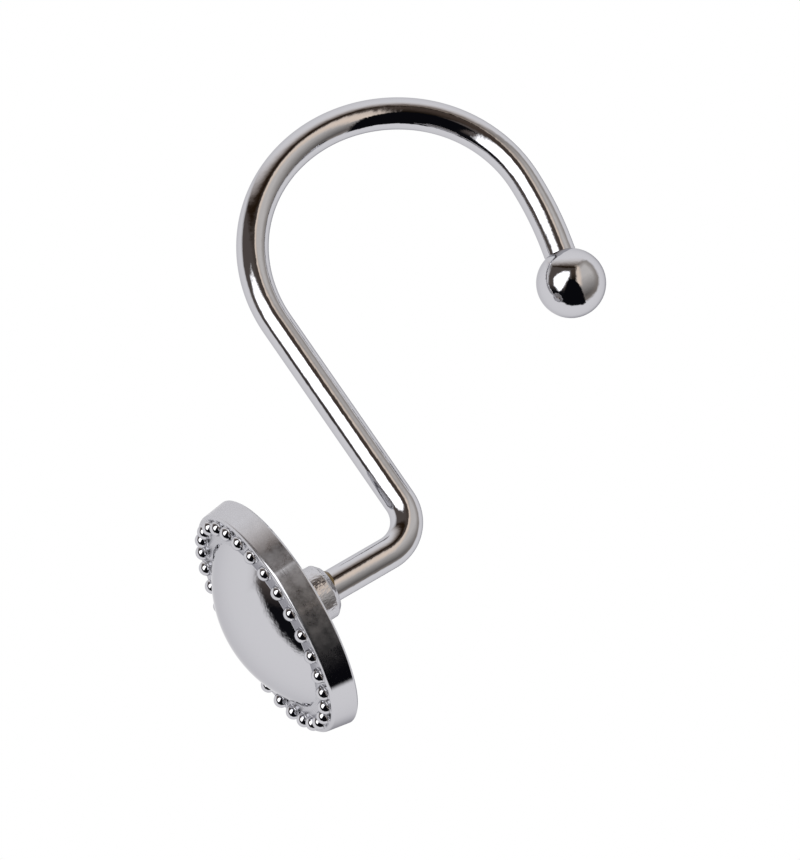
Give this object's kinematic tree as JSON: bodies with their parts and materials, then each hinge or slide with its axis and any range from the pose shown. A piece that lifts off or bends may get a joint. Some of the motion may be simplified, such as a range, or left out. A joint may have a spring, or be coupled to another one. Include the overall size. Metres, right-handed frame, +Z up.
{
  "type": "curtain hook",
  "caption": "Open curtain hook of bent chromed wire with a ball tip over the rod and a domed, bead-edged round knob at the foot.",
  "frame": {"origin": "rod seat: the point on the underside of the crown, in the hook's plane, that rests on the top of the rod", "axes": "+Z up as the hook hangs, X along the rod and across the hook's plane, -Y towards the knob's domed front"},
  "size_m": [0.029, 0.0629, 0.0649],
  "materials": {
    "wire": "polished chrome plating on drawn steel wire",
    "ball": "polished chrome plating on a steel ball",
    "knob": "chrome plating on a cast knob, a little uneven on band and boss"
  },
  "bodies": {
    "root": {"hook_wire": "wire", "ball_tip": "ball", "beaded_knob": "knob"}
  },
  "joints": []
}
